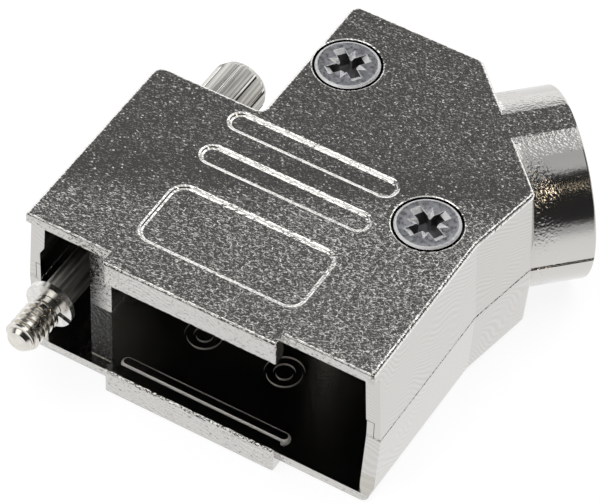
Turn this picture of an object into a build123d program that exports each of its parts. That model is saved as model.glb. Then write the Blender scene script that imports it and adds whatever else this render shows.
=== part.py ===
from build123d import *
import os
from math import radians, sqrt, tan

# Frame: origin at the centre of the connector seat, X across the connector,
# Y from the seat back into the hood, Z up from the hood's mid-height, where the jackscrew lies.

# Hood body, its plan measured on the top face
height = 15.1
body_width = 31.0
shoulder_depth = 18.1
shoulder_width = 9.75
body_depth = 32.45
flare_start = 14.75
flare = 1.3
entry_face_width = 15.05
draft_angle = 3.0
corner_round = 0.9
notch_round = 0.6
upper_edge_round = 0.35
lower_edge_round = 0.85

# Walls, and the lap joint on the seam between the two halves
side_wall = 1.25
plate = 0.95
seam_drop = 0.65
seam_bevel = 0.08
lap_height = 1.7
lap_thickness = 0.6
lap_clearance = 0.05

# Connector seat: the plates and their hook lips stand ahead of the side walls' ends
flange_gap = 0.9
plate_edge_round = 0.2
lip_width = 15.4
lip_thickness = 1.2
lip_height = 2.45
lip_round = 0.25
seat_rib_length = 15.5
seat_rib_width = 1.1
seat_rib_height = 0.35
seat_rib_round = 0.3

# Shallow recesses in the top face
recess_ease_depth = 0.06
recess_ease_slope = 70.0
recess_wall_depth = 0.08
recess_wall_slope = 45.0
panel_width = 14.9
panel_length = 6.9
panel_centre_y = 4.9
panel_round = 1.5
slot_length = 15.4
slot_width = 2.3
slot_centres_y = (12.0, 16.2)

# Cable tube, with a flat strip along its crown
tube_half_width = 8.1
tube_strip_width = 2.6
tube_length = 5.3
tube_bore = 6.1
tube_edge_round = 0.2
tube_seam_groove = 0.28

# Toothed grip inserts in the cable tube
insert_setback = 0.8
insert_length = 5.6
insert_clearance = 0.05
insert_seam_gap = 0.1
cable_radius = 3.6
collar_height = 0.45
collar_width = 1.6
tooth_count = 3
tooth_width = 0.8
tooth_depth = 0.4

# Cover screws, countersunk M3, and their bosses
screw_radius = 1.5
screw_length = 12.0
head_radius = 2.65
head_stand = 0.08
head_rim = 0.13
head_bevel = 0.2
head_clearance = 0.02
sink_gap = 0.2
sink_depth = 0.42
sink_ease = 0.12
sink_ease_drop = 0.05
thread_clearance = 0.02
shank_clearance = 0.1
hole_end_gap = 0.6
boss_radius = 3.0
boss_rib_width = 3.4
rear_screw_x = -2.7
rear_screw_y = 26.15
rear_screw_turn = 54.0
side_screw_x = 11.25
side_screw_y = 14.6
side_screw_turn = 62.0
wing_width = 0.85
wing_reach = 1.85
wing_ramp = 0.25
wing_heel = 1.4
wing_foot = 0.95
cross_depth = 1.1
cross_core_radius = 0.72
point_reach = 1.6
point_slope = 22.0

# Jackscrew
jackscrew_spacing = 25.0
jackscrew_tip = 6.85
thread_radius = 1.42
thread_length = 3.9
thread_runout = 0.3
tip_round = 0.5
neck_radius = 1.09
shaft_radius = 1.36
knob_radius = 2.45
knob_length = 7.75
knob_gap = 0.1
knob_chamfer = 0.3
knob_taper = 0.6
flute_count = 10
flute_radius = 0.2
flute_depth = 0.14
knob_slot_width = 0.65
knob_slot_depth = 1.0
knob_slot_angle = 132.0

# Split ring that keeps the jackscrew in the hood
ring_radius = 2.1
ring_thickness = 0.5
ring_place = 1.97
ring_groove_radius = 0.85
ring_clearance = 0.04
ring_slit = 0.55
ring_slit_angle = -21.0

# Jackscrew chamber
chamber_half_width = 2.25
chamber_wall = 1.95
channel_depth = 0.65
channel_half_height = 2.4
channel_slope = 1.2
bearing_web_place = 10.8
bearing_web = 1.4
shaft_hole_clearance = 0.08

# Moulding rings on the lower floor
moulding_ring_x = 3.7
moulding_ring_y = 6.4
moulding_ring_radii = (0.9, 1.65)
moulding_ring_width = 0.2
moulding_ring_depth = 0.12

# Worked out from the sizes above
half_height = height / 2
ceiling = half_height - plate
rib_top = half_height - plate / 2
draft_slope = tan(radians(draft_angle))
draft_run = (half_height + seam_drop) * draft_slope
right_side = body_width / 2
left_side = -right_side
neck_left = left_side + shoulder_width
shoulder_back = shoulder_depth + draft_run
entry_run = entry_face_width / sqrt(2)
entry_right = right_side + flare
entry_rear_x = entry_right - entry_run
entry_front_y = body_depth - entry_run
entry_centre = Vector(entry_right - entry_run / 2, body_depth - entry_run / 2, 0)
entry_plane = Plane(entry_centre, x_dir=(1, -1, 0), z_dir=(1, 1, 0))
tube_crown = half_height / sqrt(1 - (tube_strip_width / 2 / tube_half_width) ** 2)
collar_radius = tube_bore + collar_height
insert_start = tube_length - insert_setback - insert_length
collar_start = insert_start + (insert_length - collar_width) / 2
plate_front = -flange_gap
lip_front = plate_front - lip_thickness
stock_front = lip_front - side_wall
jackscrew_x = -jackscrew_spacing / 2
shaft_hole_radius = shaft_radius + shaft_hole_clearance
shaft_hole_end = shoulder_back + side_wall
head_top = half_height + head_stand
cone_start = head_top - head_rim
screw_end = head_top - screw_length
sink_radius = head_radius + sink_gap
reach = body_width + body_depth
corners = [
    (left_side, shoulder_depth),
    (neck_left, body_depth),
    (entry_rear_x, body_depth),
    (entry_right, entry_front_y),
]
rear_screw = (rear_screw_x, rear_screw_y)
side_screw = (side_screw_x, side_screw_y)


def block(x0, x1, y0, y1, z0, z1):
    return Pos((x0 + x1) / 2, (y0 + y1) / 2, (z0 + z1) / 2) * Box(x1 - x0, y1 - y0, z1 - z0)


def post(x, y, z0, z1, radius):
    return Pos(x, y, (z0 + z1) / 2) * Cylinder(radius, z1 - z0)


def along_y(y0, y1, radius):
    return Pos(jackscrew_x, (y0 + y1) / 2, 0) * Rot(90, 0, 0) * Cylinder(radius, y1 - y0)


def along_entry(s0, s1, radius):
    return extrude(entry_plane.offset(s0) * Circle(radius), s1 - s0)


def plan(grow):
    # The hood's outline in plan, each side moved outwards from the top face's edge
    points = [
        Vector(left_side, stock_front),
        Vector(left_side, shoulder_depth),
        Vector(neck_left, shoulder_depth),
        Vector(neck_left, body_depth),
        Vector(entry_rear_x, body_depth),
        Vector(entry_right, entry_front_y),
        Vector(right_side, flare_start),
        Vector(right_side, stock_front),
    ]
    moved = []
    for i, point in enumerate(points):
        before = (point - points[i - 1]).normalized()
        after = (points[(i + 1) % len(points)] - point).normalized()
        out_before = Vector(-before.Y, before.X)
        out_after = Vector(-after.Y, after.X)
        moved.append(point + (out_before + out_after) * (grow / (1 + out_before.dot(out_after))))
    return make_face(Polyline(*moved, close=True))


def drafted(grow, seam, top):
    # Plan raised from the seam, its sides leaning in by the draft
    solid = extrude(Pos(0, 0, seam) * plan(grow + draft_run), top - seam)
    sides = [face for face in solid.faces() if abs(face.normal_at().Z) < 0.5]
    return draft(sides, Plane.XY.offset(seam), draft_angle)


def uprights(solid, x, y):
    near = corner_round + draft_run
    edges = [edge for edge in solid.edges() if abs(edge.tangent_at(0.5).Z) > 0.5]
    edges = [edge for edge in edges if abs(edge.center().X - x) < near]
    return [edge for edge in edges if abs(edge.center().Y - y) < near]


def half_body(seam, edge_round):
    body = drafted(0, seam, half_height)
    for corner in corners:
        body = fillet(uprights(body, *corner), corner_round)
    body = fillet(uprights(body, neck_left, shoulder_depth), notch_round)
    body = fillet(body.faces().sort_by(Axis.Z)[-1].edges(), edge_round)
    body = chamfer(body.faces().sort_by(Axis.Z)[0].edges(), seam_bevel)
    body &= block(-reach, reach, plate_front, reach, seam, half_height)
    front = body.faces().sort_by(Axis.Y)[0]
    return fillet(front.edges().sort_by(Axis.Z)[-1], plate_edge_round)


def half_tube(seam):
    buried = side_wall / 2
    outline = entry_plane.offset(-buried) * Ellipse(tube_half_width, tube_crown)
    tube = extrude(outline, tube_length + buried)
    rim = tube.faces().sort_by_distance(entry_plane.offset(tube_length).origin)[0]
    tube = fillet(rim.edges(), tube_edge_round)
    tube &= block(-reach, reach, -reach, reach, seam, half_height)
    side_x = tube_half_width * sqrt(1 - (seam / tube_crown) ** 2)
    groove = Rectangle(tube_seam_groove, tube_seam_groove, rotation=45)
    for x in (-side_x, side_x):
        tube -= extrude(entry_plane * Pos(x, -seam) * groove, tube_length)
    return tube


def lip():
    x = lip_width / 2
    hook = block(-x, x, lip_front, plate_front, half_height - lip_height, half_height)
    hook = fillet(hook.faces().sort_by(Axis.Y)[0].edges(), lip_round)
    root = block(-x, x, plate_front - lip_thickness / 2, plate_front + plate, ceiling, half_height)
    return hook + root


def seat_rib():
    rib = extrude(SlotOverall(seat_rib_length, seat_rib_width), seat_rib_height + plate / 2)
    rib = fillet(rib.faces().sort_by(Axis.Z)[0].edges(), seat_rib_round)
    return Pos(0, seat_rib_width / 2, ceiling - seat_rib_height) * rib


def chamber_channel():
    # Sunk stretch of the side wall beside the jackscrew, deepest at mid-height
    shallow = left_side + side_wall
    deep = shallow - channel_depth
    top = channel_half_height + channel_slope
    profile = Polyline(
        (jackscrew_x, -top),
        (shallow, -top),
        (deep, -channel_half_height),
        (deep, channel_half_height),
        (shallow, top),
        (jackscrew_x, top),
        close=True,
    )
    face = Plane.XZ.offset(flange_gap) * make_face(profile)
    return extrude(face, -(flange_gap + shoulder_depth - side_wall))


def shaft_way():
    # Rounded above the shaft and open downwards, so that the half drops over it
    r = shaft_hole_radius
    way = along_y(0, shaft_hole_end, r)
    return way + block(jackscrew_x - r, jackscrew_x + r, 0, shaft_hole_end, -half_height, 0)


def cable_bore():
    bore = along_entry(-2 * side_wall, tube_length + side_wall, tube_bore)
    return bore + along_entry(collar_start, collar_start + collar_width, collar_radius)


def ribs(seam):
    # Chamber partition, bearing web, screw bosses and the rib that ties one boss to the wall
    partition = jackscrew_x + chamber_half_width
    back = shoulder_depth - side_wall / 2
    web_back = bearing_web_place + bearing_web
    rib_front = side_screw_y - boss_rib_width / 2
    rib_back = side_screw_y + boss_rib_width / 2
    inner_left = left_side + side_wall / 2
    inner_right = right_side - side_wall / 2
    made = block(partition, partition + chamber_wall, 0, back, seam, rib_top)
    made += block(inner_left, partition + chamber_wall / 2, bearing_web_place, web_back, seam, rib_top)
    made += block(side_screw_x, inner_right, rib_front, rib_back, seam, rib_top)
    for x, y in (rear_screw, side_screw):
        made += post(x, y, seam, rib_top, boss_radius)
    return made & drafted(-side_wall / 2, seam, rib_top)


def half_shell(seam, edge_round):
    # One half as cast, seam downwards, before the features that only one half has
    shell = half_body(seam, edge_round)
    shell -= drafted(-side_wall, seam, ceiling)
    shell -= block(-reach, reach, stock_front, 0, seam, ceiling)
    shell += half_tube(seam)
    shell -= chamber_channel()
    shell += ribs(seam)
    shell += seat_rib()
    shell += lip()
    return shell - cable_bore() - shaft_way()


def lap_ring(base, outward, inward, ring_height):
    # Band that follows the inner half of the walls, upwards from its base
    outer = plan(draft_run - side_wall + lap_thickness + outward)
    inner = plan(draft_run - side_wall - inward)
    ring = Pos(0, 0, base) * (extrude(outer, ring_height) - extrude(inner, ring_height))
    return ring & block(-reach, reach, 0, reach, -half_height, half_height)


def sink(shell, outline):
    # Shallow recess in the top face, its sloping wall eased at the rim and at the foot
    ease = (recess_ease_depth, recess_ease_slope)
    wall = (recess_wall_depth, recess_wall_slope)
    level = half_height
    inset = 0
    for drop, slope in (ease, wall, ease):
        shell -= extrude(Pos(0, 0, level) * offset(outline, -inset), -drop, taper=slope)
        inset += drop * tan(radians(slope))
        level -= drop
    return shell


def countersink(x, y):
    # Round well with a gap about the head, over the cone that the head bears on
    sink_floor = half_height - sink_depth
    cone_radius = head_radius + head_clearance - (cone_start - sink_floor)
    cone_end = sink_floor - cone_radius + screw_radius
    profile = Polyline(
        (0, half_height),
        (sink_radius + sink_ease, half_height),
        (sink_radius, half_height - sink_ease_drop),
        (sink_radius, sink_floor),
        (cone_radius, sink_floor),
        (screw_radius, cone_end),
        (0, cone_end),
        close=True,
    )
    return Pos(x, y, 0) * revolve(Plane.XZ * make_face(profile), Axis.Z)


def upper_shell():
    shell = half_shell(-seam_drop, upper_edge_round)
    inward = lap_clearance + lap_height * draft_slope
    shell -= lap_ring(-seam_drop, lap_clearance, inward, lap_height + lap_clearance)
    shell = sink(shell, Pos(0, panel_centre_y) * RectangleRounded(panel_width, panel_length, panel_round))
    for y in slot_centres_y:
        shell = sink(shell, Pos(0, y) * SlotOverall(slot_length, slot_width))
    for x, y in (rear_screw, side_screw):
        shell -= countersink(x, y)
        shell -= post(x, y, -half_height, half_height, screw_radius + shank_clearance)
    return shell


def moulding_ring(x, radius):
    top = ceiling + moulding_ring_depth
    outer = post(x, moulding_ring_y, 0, top, radius)
    return outer - post(x, moulding_ring_y, 0, top, radius - moulding_ring_width)


def lower_shell():
    # Built seam downwards like the upper half, then turned over
    shell = half_shell(seam_drop, lower_edge_round)
    tongue = lap_ring(seam_drop - lap_height, 0, 0, lap_height)
    shell += tongue - chamber_channel() - cable_bore() - shaft_way()
    for x, y in (rear_screw, side_screw):
        shell -= post(x, y, -half_height, hole_end_gap - screw_end, screw_radius + thread_clearance)
    for x in (-moulding_ring_x, moulding_ring_x):
        for radius in moulding_ring_radii:
            shell -= moulding_ring(x, radius)
    return mirror(shell, Plane.XY)


def star_point():
    # V-shaped ramp of the drive recess, which runs out on the head's face between two wings
    vee = make_face(Polyline((0, 0), (point_reach, point_reach), (-point_reach, point_reach), close=True))
    ramp = extrude(Plane.YZ * vee, -point_reach)
    return Pos(point_reach, 0, head_top) * Rot(0, -point_slope, 0) * ramp


def cover_screw(x, y, turn):
    profile = Polyline(
        (0, head_top),
        (head_radius - head_bevel, head_top),
        (head_radius, cone_start),
        (screw_radius, cone_start - head_radius + screw_radius),
        (screw_radius, screw_end),
        (0, screw_end),
        close=True,
    )
    screw = revolve(Plane.XZ * make_face(profile), Axis.Z)
    cross_floor = head_top - cross_depth
    over_head = head_top + head_rim
    screw -= post(0, 0, cross_floor, over_head, cross_core_radius)
    wing_side = Polyline(
        (0, over_head),
        (wing_reach, over_head),
        (wing_reach, head_top),
        (wing_heel, head_top - wing_ramp),
        (wing_foot, cross_floor),
        (0, cross_floor),
        close=True,
    )
    wing = extrude(Plane.XZ * make_face(wing_side), wing_width / 2, both=True)
    for side in (0, 90, 180, 270):
        screw -= Rot(0, 0, side) * wing
        screw -= Rot(0, 0, side + 45) * star_point()
    return Pos(x, y, 0) * Rot(0, 0, turn) * screw


def jackscrew():
    tip = -jackscrew_tip
    thread_end = tip + thread_length
    groove_front = -ring_place - ring_thickness - ring_clearance
    groove_back = -ring_place + ring_clearance
    knob_front = shoulder_back + knob_gap
    knob_back = knob_front + knob_length
    profile = Polyline(
        (0, tip),
        (thread_radius - tip_round, tip),
        (thread_radius, tip + tip_round),
        (thread_radius, thread_end),
        (neck_radius, thread_end + thread_runout),
        (neck_radius, groove_front),
        (ring_groove_radius, groove_front),
        (ring_groove_radius, groove_back),
        (shaft_radius, groove_back),
        (shaft_radius, knob_front),
        (knob_radius - knob_chamfer, knob_front),
        (knob_radius, knob_front + knob_chamfer),
        (knob_radius, knob_back - knob_taper),
        (knob_radius - knob_chamfer, knob_back),
        (0, knob_back),
        close=True,
    )
    screw = Pos(jackscrew_x, 0, 0) * revolve(make_face(profile), Axis.Y)
    flute_place = knob_radius + flute_radius - flute_depth
    flute = Pos(flute_place, 0, 0) * along_y(knob_front, knob_back, flute_radius)
    for i in range(flute_count):
        angle = (i + 0.5) * 360 / flute_count
        turn = Pos(jackscrew_x, 0, 0) * Rot(0, angle, 0) * Pos(-jackscrew_x, 0, 0)
        screw -= turn * flute
    slot = Box(3 * knob_radius, 2 * knob_slot_depth, knob_slot_width)
    return screw - Pos(jackscrew_x, knob_back, 0) * Rot(0, -knob_slot_angle, 0) * slot


def retaining_ring():
    front = -ring_place - ring_thickness
    ring = along_y(front, -ring_place, ring_radius)
    ring -= along_y(front, -ring_place, ring_groove_radius + ring_clearance)
    slit = Pos(ring_radius, 0, 0) * Box(2 * ring_radius, 4 * ring_thickness, ring_slit)
    return ring - Pos(jackscrew_x, front, 0) * Rot(0, -ring_slit_angle, 0) * slit


def grip_insert(side):
    # Half ring with teeth, its collar in the tube's groove; side is 1 for the upper and -1 for the lower
    end = insert_start + insert_length
    collar_end = collar_start + collar_width
    insert = along_entry(insert_start, end, tube_bore - insert_clearance)
    insert += along_entry(
        collar_start + insert_clearance,
        collar_end - insert_clearance,
        collar_radius - insert_clearance,
    )
    insert -= along_entry(insert_start, end, cable_radius)
    pitch = (insert_length - tooth_width) / (tooth_count - 1)
    for i in range(tooth_count - 1):
        start = insert_start + i * pitch + tooth_width
        insert -= along_entry(start, start + pitch - tooth_width, cable_radius + tooth_depth)
    edges = sorted((side * insert_seam_gap / 2, side * height))
    return insert & block(-reach, reach, -reach, reach, *edges)


nodes = {
    "upper_shell": upper_shell(),
    "lower_shell": lower_shell(),
    "cover_screw_rear": cover_screw(*rear_screw, rear_screw_turn),
    "cover_screw_side": cover_screw(*side_screw, side_screw_turn),
    "jackscrew": jackscrew(),
    "retaining_ring": retaining_ring(),
    "grip_insert_upper": grip_insert(1),
    "grip_insert_lower": grip_insert(-1),
}

os.makedirs("parts", exist_ok=True)
for name, solid in nodes.items():
    export_step(solid, f"parts/{name}.step")
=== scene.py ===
import math
import bmesh
import bpy
from mathutils import Matrix, Vector


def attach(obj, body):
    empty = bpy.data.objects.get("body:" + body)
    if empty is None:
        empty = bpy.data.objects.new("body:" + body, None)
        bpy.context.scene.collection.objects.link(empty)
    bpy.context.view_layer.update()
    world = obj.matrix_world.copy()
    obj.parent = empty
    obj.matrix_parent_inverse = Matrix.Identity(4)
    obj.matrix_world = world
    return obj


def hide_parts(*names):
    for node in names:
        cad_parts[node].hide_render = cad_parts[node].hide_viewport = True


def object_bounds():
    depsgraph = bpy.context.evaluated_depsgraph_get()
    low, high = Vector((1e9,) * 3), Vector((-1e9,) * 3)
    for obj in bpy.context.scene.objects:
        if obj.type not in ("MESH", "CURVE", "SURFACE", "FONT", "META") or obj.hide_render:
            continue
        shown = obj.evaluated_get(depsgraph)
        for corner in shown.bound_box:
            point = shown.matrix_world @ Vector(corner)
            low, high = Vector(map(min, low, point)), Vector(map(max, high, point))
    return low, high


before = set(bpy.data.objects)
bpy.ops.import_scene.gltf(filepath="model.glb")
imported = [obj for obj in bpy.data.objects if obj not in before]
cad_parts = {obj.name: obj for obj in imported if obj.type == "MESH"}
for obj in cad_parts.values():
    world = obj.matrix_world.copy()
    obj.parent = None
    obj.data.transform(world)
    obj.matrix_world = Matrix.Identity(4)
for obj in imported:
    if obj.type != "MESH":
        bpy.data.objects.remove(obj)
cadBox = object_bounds()
scene = bpy.context.scene
scene.view_settings.view_transform = "Standard"
mm = 0.001


# node helpers

def addNode(tree, kind, settings=None, sockets=None):
    node = tree.nodes.new(kind)
    for name, value in (settings or {}).items():
        setattr(node, name, value)
    for key, value in (sockets or {}).items():
        if isinstance(value, bpy.types.NodeSocket):
            tree.links.new(value, node.inputs[key])
        else:
            node.inputs[key].default_value = value
    return node


def calc(tree, operation, first, second=0.0):
    return addNode(tree, "ShaderNodeMath", {"operation": operation}, {0: first, 1: second}).outputs[0]


def vectorCalc(tree, operation, first, second):
    return addNode(tree, "ShaderNodeVectorMath", {"operation": operation}, {0: first, 1: second}).outputs


def mapRange(tree, value, fromLow, fromHigh, toLow=0.0, toHigh=1.0, smooth=True):
    settings = {"interpolation_type": "SMOOTHSTEP" if smooth else "LINEAR"}
    sockets = {"Value": value, "From Min": fromLow, "From Max": fromHigh, "To Min": toLow, "To Max": toHigh}
    return addNode(tree, "ShaderNodeMapRange", settings, sockets).outputs["Result"]


def mixColour(tree, factor, first, second, blend="MIX"):
    settings = {"data_type": "RGBA", "blend_type": blend}
    return addNode(tree, "ShaderNodeMix", settings, {0: factor, 6: first, 7: second}).outputs[2]


def mixValue(tree, factor, first, second):
    return addNode(tree, "ShaderNodeMix", {"data_type": "FLOAT"}, {0: factor, 2: first, 3: second}).outputs[0]


def ramp(tree, factor, stops):
    node = addNode(tree, "ShaderNodeValToRGB", None, {"Fac": factor})
    elements = node.color_ramp.elements
    while len(elements) < len(stops):
        elements.new(0.5)
    for element, (place, grey) in zip(elements, stops):
        element.position = place
        element.color = (grey, grey, grey, 1)
    return node.outputs["Color"]


def newGroup(name, inputs, outputs):
    group = bpy.data.node_groups.new(name, "ShaderNodeTree")
    for label, kind, value in inputs:
        socket = group.interface.new_socket(name=label, in_out="INPUT", socket_type=kind)
        if value is not None:
            socket.default_value = value
    for label, kind in outputs:
        group.interface.new_socket(name=label, in_out="OUTPUT", socket_type=kind)
    return group, group.nodes.new("NodeGroupInput"), group.nodes.new("NodeGroupOutput")


def useGroup(tree, group, sockets):
    node = tree.nodes.new("ShaderNodeGroup")
    node.node_tree = group
    for key, value in sockets.items():
        if isinstance(value, bpy.types.NodeSocket):
            tree.links.new(value, node.inputs[key])
        else:
            node.inputs[key].default_value = value
    return node.outputs


def newMaterial(name):
    material = bpy.data.materials.new(name)
    material.use_nodes = True
    tree = material.node_tree
    tree.nodes.clear()
    output = tree.nodes.new("ShaderNodeOutputMaterial")
    shader = tree.nodes.new("ShaderNodeBsdfPrincipled")
    tree.links.new(shader.outputs[0], output.inputs["Surface"])
    return material, tree, shader


# camera, set where the photo's camera stood

view = {
    "eye": (100.5, -163.4, 223.9),  # mm
    "azimuth": 29.43,
    "elevation": 47.90,
    "roll": 2.13,
    "focal": 3827.0,  # pixels, in an image 600 wide
    "imageWidth": 600,
    "sensor": 36.0,  # mm
    "clip": (0.01, 20.0),  # m
}


def placeCamera():
    data = bpy.data.cameras.new("photoCamera")
    data.sensor_width = view["sensor"]
    data.lens = view["sensor"] * view["focal"] / view["imageWidth"]
    data.clip_start, data.clip_end = view["clip"]
    camera = bpy.data.objects.new("photoCamera", data)
    scene.collection.objects.link(camera)
    az, el, roll = (math.radians(view[key]) for key in ("azimuth", "elevation", "roll"))
    back = Vector((math.sin(az) * math.cos(el), -math.cos(az) * math.cos(el), math.sin(el)))
    level = Vector((math.cos(az), math.sin(az), 0))
    rise = back.cross(level)
    right = level * math.cos(roll) + rise * math.sin(roll)
    up = back.cross(right)
    turn = Matrix((right, up, back)).transposed().to_4x4()
    camera.matrix_world = Matrix.Translation(Vector(view["eye"]) * mm) @ turn
    scene.camera = camera


placeCamera()
print("camera placed")


# studio: white floor, bright overhead box, a dark room in front

studio = {
    "backBearing": (-0.40, 0.92),  # level direction away from the camera
    "backLight": [  # elevation and brightness of the room behind the object
        (0, 1.25), (16, 1.1), (23, 0.85), (28, 0.45), (33, 0.18), (38, 0.1),
        (52, 0.1), (58, 0.2), (64, 0.4), (72, 0.55), (90, 0.56),
    ],
    "frontLight": [  # the same ahead of it
        (0, 0.35), (3, 0.1), (6, 0.03), (59, 0.02), (62, 0.5), (66, 0.62), (75, 0.55), (90, 0.56),
    ],
    "sideBlend": 0.3,  # how far the two run into each other
    "boxes": [  # three soft boxes and a black card, edges in degrees from the aim, outer and inner
        {"aim": (0.149, 0.597, 0.788), "edge": (18, 12), "light": 1.5, "tint": (1.0, 1.0, 1.0)},
        {"aim": (-0.355, -0.394, 0.848), "edge": (30, 23), "light": 1.5, "tint": (1.0, 1.0, 0.98)},
        {"aim": (0.672, 0.605, 0.427), "edge": (17, 12), "light": 0.03, "tint": (1.0, 1.0, 1.0)},
        {"aim": (0.715, -0.177, 0.676), "edge": (4.5, 2.5), "light": 7.0, "tint": (1.0, 0.84, 0.62)},
    ],
    "floorSize": 2.0,  # m
    "floorFade": (0.01, 0.09),  # m ahead of the object, where the floor's reflection dims
    "floorDim": 0.5,
    "floorAhead": (0.83, -0.55),
    "floorShare": 0.88,
    "floorColour": (0.88, 0.88, 0.88, 1),
    "sunStrength": 3.4,
    "sunAngle": 70.0,
}


def elevationStops(pairs):
    return [((el + 90) / 180, grey) for el, grey in pairs]


def buildWorld():
    world = bpy.data.worlds.new("studio")
    world.use_nodes = True
    scene.world = world
    tree = world.node_tree
    tree.nodes.clear()
    towards = tree.nodes.new("ShaderNodeTexCoord").outputs["Generated"]
    parts = addNode(tree, "ShaderNodeSeparateXYZ", None, {0: towards}).outputs
    rise = calc(tree, "ARCSINE", parts[2])
    place = calc(tree, "ADD", calc(tree, "DIVIDE", rise, math.pi), 0.5)
    bx, by = studio["backBearing"]
    facing = calc(tree, "ADD", calc(tree, "MULTIPLY", parts[0], bx), calc(tree, "MULTIPLY", parts[1], by))
    behind = ramp(tree, place, elevationStops(studio["backLight"]))
    ahead = ramp(tree, place, elevationStops(studio["frontLight"]))
    blend = studio["sideBlend"]
    room = mixColour(tree, mapRange(tree, facing, -blend, blend), ahead, behind)
    for box in studio["boxes"]:
        toBox = vectorCalc(tree, "DOT_PRODUCT", towards, box["aim"])["Value"]
        edge, full = (math.cos(math.radians(angle)) for angle in box["edge"])
        inBox = mapRange(tree, toBox, edge, full)
        room = mixColour(tree, inBox, room, tuple(box["light"] * tint for tint in box["tint"]) + (1,))
    seen = tree.nodes.new("ShaderNodeLightPath").outputs["Is Camera Ray"]
    shade = addNode(tree, "ShaderNodeBackground", None, {"Color": mixColour(tree, seen, room, (1, 1, 1, 1))})
    output = tree.nodes.new("ShaderNodeOutputWorld")
    tree.links.new(shade.outputs[0], output.inputs["Surface"])


def buildFloor():
    half = studio["floorSize"] / 2
    low = cadBox[0].z
    mesh = bpy.data.meshes.new("floor")
    corners = [(-half, -half, low), (half, -half, low), (half, half, low), (-half, half, low)]
    mesh.from_pydata(corners, [], [(0, 1, 2, 3)])
    floor = bpy.data.objects.new("floor", mesh)
    scene.collection.objects.link(floor)
    material = bpy.data.materials.new("paleFloor")
    material.use_nodes = True
    tree = material.node_tree
    tree.nodes.clear()
    path = tree.nodes.new("ShaderNodeLightPath").outputs
    where = tree.nodes.new("ShaderNodeTexCoord").outputs["Object"]
    place = addNode(tree, "ShaderNodeSeparateXYZ", None, {0: where}).outputs
    fx, fy = studio["floorAhead"]
    ahead = calc(tree, "ADD", calc(tree, "MULTIPLY", place[0], fx), calc(tree, "MULTIPLY", place[1], fy))
    # the floor as mirrored in the metal is painted darker ahead of the object, a painted shade
    dim = mapRange(tree, ahead, *studio["floorFade"], 1.0, studio["floorDim"])
    mirrored = calc(tree, "MAXIMUM", path["Is Glossy Ray"], path["Is Transmission Ray"])
    strength = mixValue(tree, mirrored, 1.0, dim)
    white = addNode(tree, "ShaderNodeEmission", None, {"Color": (1, 1, 1, 1), "Strength": strength})
    matt = addNode(tree, "ShaderNodeBsdfDiffuse", None, {"Color": studio["floorColour"]})
    share = calc(tree, "MULTIPLY", path["Is Camera Ray"], studio["floorShare"])
    share = calc(tree, "MAXIMUM", share, mirrored)
    both = addNode(tree, "ShaderNodeMixShader", None, {0: share, 1: matt.outputs[0], 2: white.outputs[0]})
    output = tree.nodes.new("ShaderNodeOutputMaterial")
    tree.links.new(both.outputs[0], output.inputs["Surface"])
    mesh.materials.append(material)


def buildSun():
    data = bpy.data.lights.new("skylight", "SUN")
    data.energy = studio["sunStrength"]
    data.angle = math.radians(studio["sunAngle"])
    lamp = bpy.data.objects.new("skylight", data)
    lamp.visible_glossy = False  # the metal mirrors the room, this only softens the floor
    scene.collection.objects.link(lamp)


buildWorld()
buildFloor()
buildSun()
print("studio built")


# finishes

sparkGrain = {
    "noise": (1.5, 0.5),  # detail and roughness of the skin
    "pitScale": 0.8,
    "bowlDepth": 0.5,
    "sparkScale": 0.5,
    "sparkShare": 0.62,  # cells above this have a deeper crater
    "sparkReach": 0.2,
}
flowLines = {
    "spacing": 0.00042,  # m
    "wander": 14.0,  # lines that a cloud shifts by
    "lean": (0.3, 0.4, 0.9),
    "cloudScale": 140.0,
    "patchScale": 420.0,
    "patchEdges": (0.35, 0.65),
}


def grainGroup():
    # spark-eroded skin: overlapping shallow craters over finer noise
    inputs = [
        ("Vector", "NodeSocketVector", None),
        ("Grain", "NodeSocketFloat", 1.0),
        ("Skin", "NodeSocketFloat", 1.0),
        ("Sparks", "NodeSocketFloat", 1.0),
    ]
    group, start, end = newGroup("sparkGrain", inputs, [("Height", "NodeSocketFloat")])
    where = start.outputs["Vector"]
    scale = start.outputs["Grain"]
    detail, roughness = sparkGrain["noise"]
    noiseSockets = {"Vector": where, "Scale": scale, "Detail": detail, "Roughness": roughness}
    fine = addNode(group, "ShaderNodeTexNoise", None, noiseSockets).outputs[0]
    pitSockets = {"Vector": where, "Scale": calc(group, "MULTIPLY", scale, sparkGrain["pitScale"])}
    pits = addNode(group, "ShaderNodeTexVoronoi", None, pitSockets).outputs["Distance"]
    bowls = calc(group, "MULTIPLY", calc(group, "MULTIPLY", pits, pits), sparkGrain["bowlDepth"])
    sparkSockets = {"Vector": where, "Scale": calc(group, "MULTIPLY", scale, sparkGrain["sparkScale"])}
    sparks = addNode(group, "ShaderNodeTexVoronoi", None, sparkSockets).outputs
    chosen = calc(group, "GREATER_THAN", sparks["Color"], sparkGrain["sparkShare"])
    crater = mapRange(group, sparks["Distance"], sparkGrain["sparkReach"], 0.0)
    crater = calc(group, "MULTIPLY", crater, chosen)
    crater = calc(group, "MULTIPLY", crater, start.outputs["Sparks"])
    rough = calc(group, "MULTIPLY", calc(group, "ADD", fine, bowls), start.outputs["Skin"])
    group.links.new(calc(group, "SUBTRACT", rough, crater), end.inputs["Height"])
    return group


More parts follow.
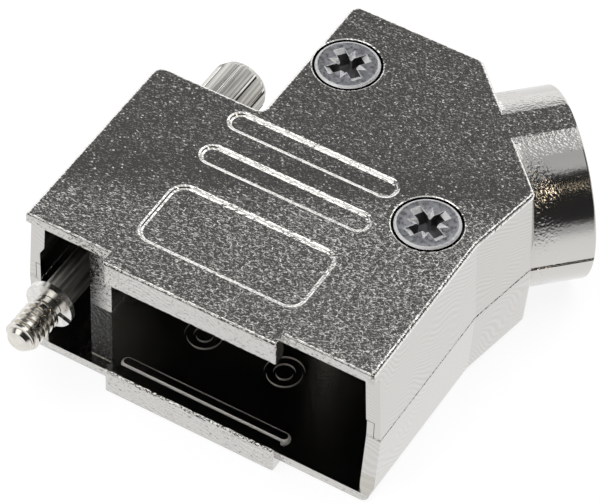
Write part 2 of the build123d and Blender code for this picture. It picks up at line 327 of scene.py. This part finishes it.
def flowGroup():
    # faint curling flow lines of the melt on smooth cast walls, stronger in some patches
    inputs = [
        ("Vector", "NodeSocketVector", None),
        ("Spacing", "NodeSocketFloat", flowLines["spacing"]),
        ("Wander", "NodeSocketFloat", flowLines["wander"]),
    ]
    group, start, end = newGroup("flowLines", inputs, [("Line", "NodeSocketFloat")])
    where = start.outputs["Vector"]
    cloudSockets = {"Vector": where, "Scale": flowLines["cloudScale"], "Detail": 1.0}
    cloud = addNode(group, "ShaderNodeTexNoise", None, cloudSockets)
    patchSockets = {"Vector": where, "Scale": flowLines["patchScale"], "Detail": 2.0}
    patches = addNode(group, "ShaderNodeTexNoise", None, patchSockets)
    lean = vectorCalc(group, "DOT_PRODUCT", where, flowLines["lean"])["Value"]
    turns = calc(group, "DIVIDE", lean, start.outputs["Spacing"])
    turns = calc(group, "ADD", turns, calc(group, "MULTIPLY", cloud.outputs[0], start.outputs["Wander"]))
    wave = calc(group, "SINE", calc(group, "MULTIPLY", turns, 2 * math.pi))
    strength = mapRange(group, patches.outputs[0], *flowLines["patchEdges"])
    group.links.new(calc(group, "MULTIPLY", wave, strength), end.inputs["Line"])
    return group


grain = grainGroup()
flow = flowGroup()

casting = {
    "colour": (0.62, 0.61, 0.59, 1),
    "smoothRoughness": 0.13,
    "grainRoughness": 0.05,
    "grainStretch": (0.75, 1.1, 1.0),
    "fineGrain": 5400.0,  # features in a metre
    "fineDepth": 0.043,  # mm
    "fineMix": (0.9, 1.4),  # share of the skin and of the deeper craters
    "coarseGrain": 4300.0,
    "coarseDepth": 0.072,
    "coarsening": (17.0, 8.0),  # mm behind a slanting line, between which the grain turns from fine to coarse
    "coarseSlant": -0.5,
    "faceLevel": 7.0,  # mm from mid-height, beyond which flat faces are spark-eroded
    "tubeStart": 38.7,  # mm of x + y, where the cable tube leaves the body
    "tubeBlend": 0.5,
    "tubeFade": (1.0, 4.0),  # mm beyond that, between which its grain dies down
    "tubeGrain": (1.2, 0.14),
    "frontGrain": 1.9,
    "frontPlace": (-0.7, -0.9),  # mm, where the front faces of the lips begin
    "frontFacing": (-0.1, -0.4),
    "flatTilt": (0.86, 0.93),  # upward share of a normal, between which a face counts as flat
    "wallGrain": 0.1,
    "flowTones": (0.91, 1.04),
    "seamGrain": 3.0,
    "seamReach": 0.12,
    "edgeTilts": ((0.15, 0.62), (0.78, 0.975)),  # eased edges, by the upward share of their normals
    "edgeAhead": -0.35,
    # painted highlight on the eased edges
    "edgeHighlight": 1.5,
    "edgeGrain": 1.0,
    # painted shade on the eased edges that face forward
    "frontEdgeShade": 0.75,
    # painted highlight on the flanks of the seat ribs and moulding rings
    "markHighlight": 1.6,
    "markRoughness": 0.7,
    "markReach": (7.9, 9.0),  # mm across and back, the seat ribs and moulding rings lie within
    "markLevels": (6.2, 6.8),  # mm from mid-height
    "markTilt": 0.95,
    "slack": 0.05,  # mm, by which a mask runs over its faces
    "noseX": (-10.25, -8.3),  # mm, the end face of the jackscrew chamber's partition
    # painted shade on the partition's end, above and below the seam
    "noseShadeUpper": (0.12, 0.85),
    "noseShadeLower": 0.05,
    "noseFacing": -0.7,
    "noseInset": 0.5,
    "noseGrain": 1.6,
    "seam": -0.65,
    "wells": ((-2.7, 26.15), (11.25, 14.6)),  # mm, the cover screws' places
    "wellRadius": 2.87,
    # painted shade in the wells round the screw heads
    "wellShade": 0.03,
}


def within(tree, value, low, high):
    above = calc(tree, "GREATER_THAN", value, low)
    return calc(tree, "MULTIPLY", above, calc(tree, "LESS_THAN", value, high))


def castMarks(tree, place, steep):
    # flanks of the seat ribs and moulding rings, made rough and given a painted highlight
    across, back = casting["markReach"]
    low, high = casting["markLevels"]
    marks = calc(tree, "LESS_THAN", calc(tree, "ABSOLUTE", place[0]), across * mm)
    marks = calc(tree, "MULTIPLY", marks, within(tree, place[1], -casting["slack"] * mm, back * mm))
    height = calc(tree, "ABSOLUTE", place[2])
    marks = calc(tree, "MULTIPLY", marks, within(tree, height, low * mm, high * mm))
    return calc(tree, "MULTIPLY", marks, steep)


def paintedNoseShade(tree, place, facing):
    # painted shade and reflection on the end of the partition: grey above the seam, darker towards the
    # jackscrew and darker below, with its mask
    left, right = casting["noseX"]
    onFace = within(tree, place[0], (left - casting["slack"]) * mm, (right + casting["slack"]) * mm)
    onFace = calc(tree, "MULTIPLY", onFace, calc(tree, "LESS_THAN", facing[1], casting["noseFacing"]))
    height = casting["faceLevel"] - casting["noseInset"]
    inside = calc(tree, "LESS_THAN", calc(tree, "ABSOLUTE", place[2]), height * mm)
    upper = mapRange(tree, place[0], left * mm, right * mm, *casting["noseShadeUpper"])
    above = calc(tree, "GREATER_THAN", place[2], casting["seam"] * mm)
    shade = mixValue(tree, above, casting["noseShadeLower"], upper)
    onNose = calc(tree, "MULTIPLY", onFace, inside)
    return mixValue(tree, onNose, 1.0, shade), onNose


def wellShadeMask(tree, where, height):
    # the sunk wells round the cover screws' heads, painted dark as shade
    flat = vectorCalc(tree, "MULTIPLY", where, (1.0, 1.0, 0.0))["Vector"]
    mask = 0.0
    for x, y in casting["wells"]:
        away = vectorCalc(tree, "DISTANCE", flat, (x * mm, y * mm, 0.0))["Value"]
        mask = calc(tree, "MAXIMUM", mask, calc(tree, "LESS_THAN", away, casting["wellRadius"] * mm))
    return calc(tree, "MULTIPLY", mask, calc(tree, "GREATER_THAN", height, 0.0))


def castMasks(tree, where, place, facing):
    # where each kind of skin lies on the castings
    level = calc(tree, "ABSOLUTE", facing[2])
    outer = calc(tree, "GREATER_THAN", calc(tree, "ABSOLUTE", place[2]), casting["faceLevel"] * mm)
    eroded = calc(tree, "MULTIPLY", mapRange(tree, level, *casting["flatTilt"]), outer)
    reach = calc(tree, "ADD", place[0], place[1])
    tubeFull = casting["tubeStart"] + casting["tubeBlend"]
    onTube = mapRange(tree, reach, casting["tubeStart"] * mm, tubeFull * mm)
    front = mapRange(tree, place[1], *(y * mm for y in casting["frontPlace"]))
    front = calc(tree, "MULTIPLY", front, mapRange(tree, facing[1], *casting["frontFacing"]))
    edge = calc(tree, "MAXIMUM", *(within(tree, level, *band) for band in casting["edgeTilts"]))
    edge = calc(tree, "MULTIPLY", outer, edge)
    edge = calc(tree, "MULTIPLY", edge, calc(tree, "SUBTRACT", 1.0, onTube))
    ahead = calc(tree, "LESS_THAN", facing[1], casting["edgeAhead"])
    ahead = calc(tree, "MULTIPLY", ahead, calc(tree, "LESS_THAN", place[1], 0.0))
    marks = castMarks(tree, place, calc(tree, "LESS_THAN", level, casting["markTilt"]))
    wells = wellShadeMask(tree, where, place[2])
    fromSeam = calc(tree, "ABSOLUTE", calc(tree, "SUBTRACT", place[2], casting["seam"] * mm))
    seam = calc(tree, "LESS_THAN", fromSeam, casting["seamReach"] * mm)
    return {
        "eroded": eroded, "reach": reach, "onTube": onTube, "front": front, "edge": edge,
        "ahead": ahead, "marks": marks, "wells": wells, "seam": seam,
    }


def castTone(tree, where, masks, noseShade):
    lines = useGroup(tree, flow, {"Vector": where})["Line"]
    tone = mapRange(tree, lines, -1.0, 1.0, *casting["flowTones"], smooth=False)
    tone = mixValue(tree, calc(tree, "MAXIMUM", masks["eroded"], masks["onTube"]), tone, 1.0)
    # painted shade and reflection on the partition's end
    tone = calc(tree, "MULTIPLY", tone, noseShade)
    # eased edges get a painted highlight, those facing forward a painted shade instead
    edgeLightAndShade = mixValue(tree, masks["ahead"], casting["edgeHighlight"], casting["frontEdgeShade"])
    tone = mixValue(tree, masks["edge"], tone, edgeLightAndShade)
    # painted highlight on the seat rib and moulding ring flanks
    tone = mixValue(tree, masks["marks"], tone, casting["markHighlight"])
    # painted shade in the wells round the screw heads
    return mixValue(tree, masks["wells"], tone, casting["wellShade"])


def castRelief(tree, where, place, masks, onNose):
    # height of the grain, fine at the back and coarse at the front, deeper or shallower by mask
    stretched = vectorCalc(tree, "MULTIPLY", where, casting["grainStretch"])["Vector"]
    skin, sparks = casting["fineMix"]
    fineSockets = {"Vector": stretched, "Grain": casting["fineGrain"], "Skin": skin, "Sparks": sparks}
    fine = useGroup(tree, grain, fineSockets)["Height"]
    fine = calc(tree, "MULTIPLY", fine, casting["fineDepth"])
    coarse = useGroup(tree, grain, {"Vector": stretched, "Grain": casting["coarseGrain"]})["Height"]
    coarse = calc(tree, "MULTIPLY", coarse, casting["coarseDepth"])
    slanted = calc(tree, "ADD", place[1], calc(tree, "MULTIPLY", place[0], casting["coarseSlant"]))
    coarsening = mapRange(tree, slanted, *(y * mm for y in casting["coarsening"]))
    nearEnd, farEnd = (casting["tubeStart"] + run for run in casting["tubeFade"])
    tubeGrain = mapRange(tree, masks["reach"], nearEnd * mm, farEnd * mm, *casting["tubeGrain"])
    depth = mixValue(tree, masks["onTube"], casting["wallGrain"], tubeGrain)
    depth = mixValue(tree, masks["front"], depth, casting["frontGrain"])
    depth = mixValue(tree, onNose, depth, casting["noseGrain"])
    depth = mixValue(tree, masks["eroded"], depth, 1.0)
    depth = mixValue(tree, masks["edge"], depth, casting["edgeGrain"])
    depth = mixValue(tree, masks["seam"], depth, casting["seamGrain"])
    return calc(tree, "MULTIPLY", mixValue(tree, coarsening, fine, coarse), depth)


def castingMaterial():
    material, tree, shader = newMaterial("nickelPlatedCasting")
    where = tree.nodes.new("ShaderNodeTexCoord").outputs["Object"]
    place = addNode(tree, "ShaderNodeSeparateXYZ", None, {0: where}).outputs
    normal = tree.nodes.new("ShaderNodeNewGeometry").outputs["Normal"]
    facing = addNode(tree, "ShaderNodeSeparateXYZ", None, {0: normal}).outputs
    masks = castMasks(tree, where, place, facing)
    noseShade, onNose = paintedNoseShade(tree, place, facing)
    tone = castTone(tree, where, masks, noseShade)
    tree.links.new(mixColour(tree, 1.0, casting["colour"], tone, "MULTIPLY"), shader.inputs["Base Color"])
    rough = mixValue(tree, masks["eroded"], casting["smoothRoughness"], casting["grainRoughness"])
    rough = mixValue(tree, masks["marks"], rough, casting["markRoughness"])
    tree.links.new(rough, shader.inputs["Roughness"])
    shader.inputs["Metallic"].default_value = 1.0
    height = castRelief(tree, where, place, masks, onNose)
    sockets = {"Strength": 1.0, "Distance": mm, "Height": height}
    tree.links.new(addNode(tree, "ShaderNodeBump", None, sockets).outputs[0], shader.inputs["Normal"])
    return material


turning = {
    "detail": 2.0,
    "contrast": (0.3, 0.7),  # of the noise that makes the marks
    "roughSpread": (0.8, 1.2),
}


def turnedMetal(name, colour, roughness, stretch, depth, shade=0.85):
    # metal with fine marks, stretched along one direction by the three scales
    material, tree, shader = newMaterial(name)
    where = tree.nodes.new("ShaderNodeTexCoord").outputs["Object"]
    stretched = vectorCalc(tree, "MULTIPLY", where, stretch)["Vector"]
    noiseSockets = {"Vector": stretched, "Scale": 1.0, "Detail": turning["detail"]}
    marks = addNode(tree, "ShaderNodeTexNoise", None, noiseSockets).outputs[0]
    dark = tuple(channel * shade for channel in colour[:3]) + (1,)
    marked = mapRange(tree, marks, *turning["contrast"])
    tree.links.new(mixColour(tree, marked, dark, colour), shader.inputs["Base Color"])
    smoother, rougher = (roughness * share for share in turning["roughSpread"])
    rough = mapRange(tree, marks, *turning["contrast"], smoother, rougher)
    tree.links.new(rough, shader.inputs["Roughness"])
    shader.inputs["Metallic"].default_value = 1.0
    sockets = {"Strength": 1.0, "Distance": depth * mm, "Height": marks}
    tree.links.new(addNode(tree, "ShaderNodeBump", None, sockets).outputs[0], shader.inputs["Normal"])
    return material


castingFinish = castingMaterial()
screwFinish = turnedMetal("zincPlatedSteel", (0.68, 0.69, 0.73, 1), 0.32, (3000, 3000, 3000), 0.012)
threadFinish = turnedMetal("nickelPlatedSteel", (0.8, 0.77, 0.72, 1), 0.16, (900, 9000, 900), 0.003)
# painted highlight for the screw heads' rims and recess ramps
rimHighlightFinish = turnedMetal("highlightedRim", (0.97, 0.97, 0.98, 1), 0.62, (3000, 3000, 3000), 0.004)
recessFinish = turnedMetal("shadedRecess", (0.27, 0.27, 0.28, 1), 0.35, (3000, 3000, 3000), 0.004)
knobFinish = turnedMetal("drawnKnob", (0.9, 0.88, 0.83, 1), 0.42, (4200, 110, 4200), 0.03, 0.42)
grooveFinish = turnedMetal("cutGroove", (0.9, 0.89, 0.86, 1), 0.08, (900, 900, 900), 0.002)
# painted shade: near-black finish for one flank of each knob groove
shadeFinish = turnedMetal("shadedGrooveFlank", (0.06, 0.06, 0.055, 1), 0.4, (900, 900, 900), 0.002)
shaftFinish = turnedMetal("drawnShaft", (0.58, 0.57, 0.54, 1), 0.5, (3600, 110, 3600), 0.03, 0.45)
ringFinish = turnedMetal("springRing", (0.82, 0.81, 0.79, 1), 0.22, (2500, 2500, 2500), 0.004)

finishes = {
    "upper_shell": castingFinish,
    "lower_shell": castingFinish,
    "retaining_ring": ringFinish,
    "grip_insert_upper": castingFinish,
    "grip_insert_lower": castingFinish,
    "cover_screw_rear": screwFinish,
    "cover_screw_side": screwFinish,
    "jackscrew": threadFinish,
}
for name, finish in finishes.items():
    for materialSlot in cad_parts[name].material_slots:
        materialSlot.material = finish
print("finishes set")


# mesh helpers

sharpAngle = 32  # degrees between faces, beyond which an edge stays sharp


def newObject(name, mesh):
    made = bpy.data.objects.new(name, mesh)
    scene.collection.objects.link(made)
    return made


def baked(holder):
    # the object's mesh with its modifiers worked in, the object itself dropped
    graph = bpy.context.evaluated_depsgraph_get()
    mesh = bpy.data.meshes.new_from_object(holder.evaluated_get(graph))
    bpy.data.objects.remove(holder)
    return mesh


def growTree(tree, values):
    holder = newObject(tree.name, bpy.data.meshes.new(tree.name))
    modifier = holder.modifiers.new("grow", "NODES")
    modifier.node_group = tree
    for item in tree.interface.items_tree:
        if item.in_out == "INPUT":
            modifier[item.identifier] = values[item.name]
    return baked(holder)


def geometryTree(name, inputs):
    tree = bpy.data.node_groups.new(name, "GeometryNodeTree")
    for label, kind in inputs:
        tree.interface.new_socket(name=label, in_out="INPUT", socket_type=kind)
    tree.interface.new_socket(name="Geometry", in_out="OUTPUT", socket_type="NodeSocketGeometry")
    return tree, tree.nodes.new("NodeGroupInput").outputs, tree.nodes.new("NodeGroupOutput").inputs


def carve(mesh, tool, operation):
    body = newObject("carved", mesh)
    other = newObject("tool", tool)
    modifier = body.modifiers.new("carve", "BOOLEAN")
    modifier.operation = operation
    modifier.object = other
    modifier.solver = "EXACT"
    result = baked(body)
    bpy.data.objects.remove(other)
    return result


def lathe(profile, segments):
    # closed body turned about Y from radius and place pairs, its first and last points on the axis
    verts = [(0, profile[0][1], 0)]
    faces = []
    for radius, y in profile[1:-1]:
        for i in range(segments):
            turn = 2 * math.pi * i / segments
            verts.append((radius * math.cos(turn), y, radius * math.sin(turn)))
    verts.append((0, profile[-1][1], 0))
    last = len(verts) - 1
    rings = len(profile) - 2
    for i in range(segments):
        j = (i + 1) % segments
        faces.append((0, 1 + i, 1 + j))
        for ring in range(rings - 1):
            low = 1 + ring * segments
            high = low + segments
            faces.append((low + i, high + i, high + j, low + j))
        faces.append((last, last - segments + j, last - segments + i))
    mesh = bpy.data.meshes.new("turned")
    mesh.from_pydata(verts, [], faces)
    return mesh


def smooth(mesh):
    mesh.shade_smooth()
    mesh.set_sharp_from_angle(angle=math.radians(sharpAngle))


def dressed(tree, geometry, material):
    # the last two nodes of a tree: instances made real, then the material
    real = addNode(tree, "GeometryNodeRealizeInstances", None, {0: geometry})
    sockets = {0: real.outputs[0], "Material": material}
    return addNode(tree, "GeometryNodeSetMaterial", None, sockets).outputs[0]


# jackscrew: turned shaft, cut thread, grooved knob with a slot

jackscrew = {
    "axisX": -12.5,
    "tip": -6.85,
    "tipRound": 0.5,
    "tipLength": 0.3,
    "threadRadius": 1.42,
    "threadLength": 3.9,
    "rootRadius": 1.17,
    "pitch": 0.635,
    "ridgeFoot": 0.42,
    "ridgeCrest": 0.24,
    "ridgeSink": 0.06,
    "ridgeStart": 0.35,  # from the tip
    "ridgeShort": 0.55,  # by which the ridge is shorter than the thread
    "ridgeSteps": 56,  # a turn
    "ridgeTaper": (0.08, 0.25),  # share of the run at either end, and size of the ridge at the very end
    "rootShort": 0.1,
    "neckRadius": 1.09,
    "runOut": 0.3,
    "shaftRadius": 1.36,
    "grooveRadius": 0.85,
    "groove": (-2.51, -1.93),
    "knobFront": 18.63,
    "knobLength": 7.75,
    "knobRadius": 2.45,
    "knobChamfer": 0.3,
    "knobTaper": 0.6,
    "flutes": 10,
    "fluteSteps": 24,
    "fluteOverrun": 1.2,
    "fluteRadius": 0.2,
    "fluteDepth": 0.14,
    "shadedFlank": -0.45,
    "grooveShare": 0.25,  # of the knob each way from its middle, where the grooves have their own finish
    "grooveSink": 0.01,
    "slotWidth": 0.65,
    "slotDepth": 1.0,
    "slotAngle": 132.0,
    "slotReach": 3.0,  # knob radii
    "segments": 120,
}


def threadTree():
    inputs = [
        ("Radius", "NodeSocketFloat"),
        ("Length", "NodeSocketFloat"),
        ("Turns", "NodeSocketFloat"),
        ("Depth", "NodeSocketFloat"),
        ("Foot", "NodeSocketFloat"),
        ("Crest", "NodeSocketFloat"),
        ("Material", "NodeSocketMaterial"),
    ]
    tree, given, result = geometryTree("threadRidge", inputs)
    sockets = {
        "Resolution": jackscrew["ridgeSteps"],
        "Rotations": given["Turns"],
        "Start Radius": given["Radius"],
        "End Radius": given["Radius"],
        "Height": given["Length"],
    }
    spiral = addNode(tree, "GeometryNodeCurveSpiral", None, sockets)
    upright = addNode(tree, "GeometryNodeSetCurveNormal", {"mode": "Z_UP"}, {"Curve": spiral.outputs[0]})
    sockets = {
        "Height": given["Depth"],
        "Bottom Width": given["Foot"],
        "Top Width": given["Crest"],
        "Offset": 0.0,
    }
    profile = addNode(tree, "GeometryNodeCurvePrimitiveQuadrilateral", {"mode": "TRAPEZOID"}, sockets)
    sockets = {"Geometry": profile.outputs[0], "Rotation": (0, 0, math.pi / 2)}
    turned = addNode(tree, "GeometryNodeTransform", None, sockets)
    along = tree.nodes.new("GeometryNodeSplineParameter").outputs["Factor"]
    nearEnd = calc(tree, "MINIMUM", along, calc(tree, "SUBTRACT", 1.0, along))
    taperRun, taperSize = jackscrew["ridgeTaper"]
    sockets = {
        "Curve": upright.outputs[0],
        "Profile Curve": turned.outputs[0],
        "Scale": mapRange(tree, nearEnd, 0.0, taperRun, taperSize, 1.0),
        "Fill Caps": True,
    }
    ridge = addNode(tree, "GeometryNodeCurveToMesh", None, sockets)
    tree.links.new(dressed(tree, ridge.outputs[0], given["Material"]), result["Geometry"])
    return tree


def fluteTree():
    inputs = [
        ("Count", "NodeSocketInt"),
        ("Place", "NodeSocketFloat"),
        ("Radius", "NodeSocketFloat"),
        ("Length", "NodeSocketFloat"),
        ("Material", "NodeSocketMaterial"),
    ]
    tree, given, result = geometryTree("knobFlutes", inputs)
    sockets = {"Vertices": given["Count"], "Radius": given["Place"]}
    ring = addNode(tree, "GeometryNodeMeshCircle", None, sockets)
    sockets = {"Vertices": jackscrew["fluteSteps"], "Radius": given["Radius"], "Depth": given["Length"]}
    rod = addNode(tree, "GeometryNodeMeshCylinder", None, sockets)
    sockets = {"Points": ring.outputs[0], "Instance": rod.outputs[0]}
    spread = addNode(tree, "GeometryNodeInstanceOnPoints", None, sockets)
    tree.links.new(dressed(tree, spread.outputs[0], given["Material"]), result["Geometry"])
    return tree


def slotBlock(place):
    size = jackscrew["knobRadius"] * jackscrew["slotReach"]
    mesh = bpy.data.meshes.new("slot")
    corners = [(x, y, z) for x in (-0.5, 0.5) for y in (-0.5, 0.5) for z in (-0.5, 0.5)]
    sides = [(0, 1, 3, 2), (4, 6, 7, 5), (0, 4, 5, 1), (2, 3, 7, 6), (0, 2, 6, 4), (1, 5, 7, 3)]
    mesh.from_pydata(corners, [], sides)
    stretch = Matrix.Diagonal((size, 2 * jackscrew["slotDepth"], jackscrew["slotWidth"], 1))
    turn = Matrix.Rotation(math.radians(-jackscrew["slotAngle"]), 4, "Y")
    mesh.transform(Matrix.Translation((0, place, 0)) @ turn @ stretch)
    return mesh


def turnedCore():
    j = jackscrew
    threadEnd = j["tip"] + j["threadLength"]
    front, back = j["groove"]
    knobBack = j["knobFront"] + j["knobLength"]
    rimRadius = j["knobRadius"] - j["knobChamfer"]
    profile = [
        (0, j["tip"]),
        (j["threadRadius"] - j["tipRound"], j["tip"]),
        (j["rootRadius"], j["tip"] + j["tipLength"]),
        (j["rootRadius"], threadEnd - j["rootShort"]),
        (j["neckRadius"], threadEnd + j["runOut"]),
        (j["neckRadius"], front),
        (j["grooveRadius"], front),
        (j["grooveRadius"], back),
        (j["shaftRadius"], back),
        (j["shaftRadius"], j["knobFront"]),
        (rimRadius, j["knobFront"]),
        (j["knobRadius"], j["knobFront"] + j["knobChamfer"]),
        (j["knobRadius"], knobBack - j["knobTaper"]),
        (rimRadius, knobBack),
        (0, knobBack),
    ]
    return lathe(profile, j["segments"])


def knobFlutes(towardsY):
    j = jackscrew
    sizes = {
        "Count": j["flutes"],
        "Place": j["knobRadius"] + j["fluteRadius"] - j["fluteDepth"],
        "Radius": j["fluteRadius"],
        "Length": j["knobLength"] * j["fluteOverrun"],
        "Material": knobFinish,
    }
    flutes = growTree(fluteTree(), sizes)
    halfPitch = Matrix.Rotation(math.pi / j["flutes"], 4, "Y")
    middle = Matrix.Translation((0, j["knobFront"] + j["knobLength"] / 2, 0))
    flutes.transform(middle @ halfPitch @ towardsY)
    return flutes


def threadRidge(towardsY):
    j = jackscrew
    depth = j["threadRadius"] - j["rootRadius"] + j["ridgeSink"]
    run = j["threadLength"] - j["ridgeShort"]
    sizes = {
        "Radius": j["threadRadius"] - depth / 2,
        "Length": run,
        "Turns": run / j["pitch"],
        "Depth": depth,
        "Foot": j["ridgeFoot"],
        "Crest": j["ridgeCrest"],
        "Material": threadFinish,
    }
    ridge = growTree(threadTree(), sizes)
    ridge.transform(Matrix.Translation((0, j["tip"] + j["ridgeStart"], 0)) @ towardsY)
    return ridge


def jackscrewPart(polygon):
    # number of the finish: thread 0, knob 1, shaft 2, groove 3, the flank of a groove painted dark as shade 4
    j = jackscrew
    place = polygon.center.y / mm
    out = Vector((polygon.center.x / mm - j["axisX"], 0, polygon.center.z / mm))
    fromMiddle = abs(place - j["knobFront"] - j["knobLength"] / 2)
    if fromMiddle < j["knobLength"] * j["grooveShare"] and out.length < j["knobRadius"] - j["grooveSink"]:
        across = out.normalized().cross(polygon.normal).y
        # one flank of each groove gets the painted-shade finish
        return 4 if across < j["shadedFlank"] else 3
    if place > j["knobFront"]:
        return 1
    return 2 if place > j["groove"][1] else 0


def buildJackscrew():
    towardsY = Matrix.Rotation(math.radians(-90), 4, "X")
    core = carve(turnedCore(), knobFlutes(towardsY), "DIFFERENCE")
    knobBack = jackscrew["knobFront"] + jackscrew["knobLength"]
    core = carve(core, slotBlock(knobBack), "DIFFERENCE")
    mesh = carve(core, threadRidge(towardsY), "UNION")
    mesh.transform(Matrix.Translation((jackscrew["axisX"] * mm, 0, 0)) @ Matrix.Scale(mm, 4))
    mesh.materials.clear()
    for finish in (threadFinish, knobFinish, shaftFinish, grooveFinish, shadeFinish):
        mesh.materials.append(finish)
    for polygon in mesh.polygons:
        polygon.material_index = jackscrewPart(polygon)
    smooth(mesh)
    made = newObject("jackscrewTurned", mesh)
    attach(made, "jackscrew")
    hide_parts("jackscrew")


buildJackscrew()
print("jackscrew built")


# cover screws: the solids with their edges eased

coverScrew = {
    "nodes": ("cover_screw_rear", "cover_screw_side"),
    "easing": 0.07,  # mm
    "easingSteps": 3,
    "weld": 0.0005,
    "flatAngle": 1,  # degrees
    "levelGap": 0.001,
    "headTop": 7.63,
    "rimRadius": 2.65,
    "rimWidth": 0.22,
    "rimTilt": 0.2,
    "recessReach": 2.0,
    "rampDepth": 0.3,  # mm, deeper faces of the recess are in its shade
    "flatTilt": 0.97,
}


def screwPart(away, depth, tilt):
    # number of the finish: head 0, rim and ramps with a painted highlight 1, recess with painted shade 2
    if tilt > coverScrew["rimTilt"] and away > coverScrew["rimRadius"] - coverScrew["rimWidth"]:
        return 1
    if away < coverScrew["recessReach"] and depth > coverScrew["rampDepth"]:
        return 2
    if away < coverScrew["recessReach"] and tilt < coverScrew["flatTilt"]:
        return 1
    return 0


def buildCoverScrew(name):
    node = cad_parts[name]
    mesh = node.data.copy()
    mesh.transform(node.matrix_world)
    shape = bmesh.new()
    shape.from_mesh(mesh)
    bmesh.ops.remove_doubles(shape, verts=shape.verts, dist=coverScrew["weld"] * mm)
    flatAngle = math.radians(coverScrew["flatAngle"])
    bmesh.ops.dissolve_limit(shape, angle_limit=flatAngle, verts=shape.verts, edges=shape.edges)
    top = coverScrew["headTop"] * mm
    gap = coverScrew["levelGap"] * mm
    level = [edge for edge in shape.edges if all(abs(vert.co.z - top) < gap for vert in edge.verts)]
    bmesh.ops.bevel(
        shape,
        geom=level,
        offset=coverScrew["easing"] * mm,
        segments=coverScrew["easingSteps"],
        profile=0.5,
        affect="EDGES",
        clamp_overlap=True,
    )
    shape.to_mesh(mesh)
    shape.free()
    if "custom_normal" in mesh.attributes:
        mesh.attributes.remove(mesh.attributes["custom_normal"])
    mesh.materials.clear()
    for finish in (screwFinish, rimHighlightFinish, recessFinish):
        mesh.materials.append(finish)
    corners = [vert.co.to_2d() for vert in mesh.vertices]
    low = Vector(min(corner[axis] for corner in corners) for axis in (0, 1))
    high = Vector(max(corner[axis] for corner in corners) for axis in (0, 1))
    centre = (low + high) / 2
    for polygon in mesh.polygons:
        away = (polygon.center.to_2d() - centre).length / mm
        depth = (top - polygon.center.z) / mm
        polygon.material_index = screwPart(away, depth, polygon.normal.z)
    smooth(mesh)
    made = newObject(name + "_eased", mesh)
    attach(made, "hood")
    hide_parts(name)


for name in coverScrew["nodes"]:
    buildCoverScrew(name)
print("cover screws built")
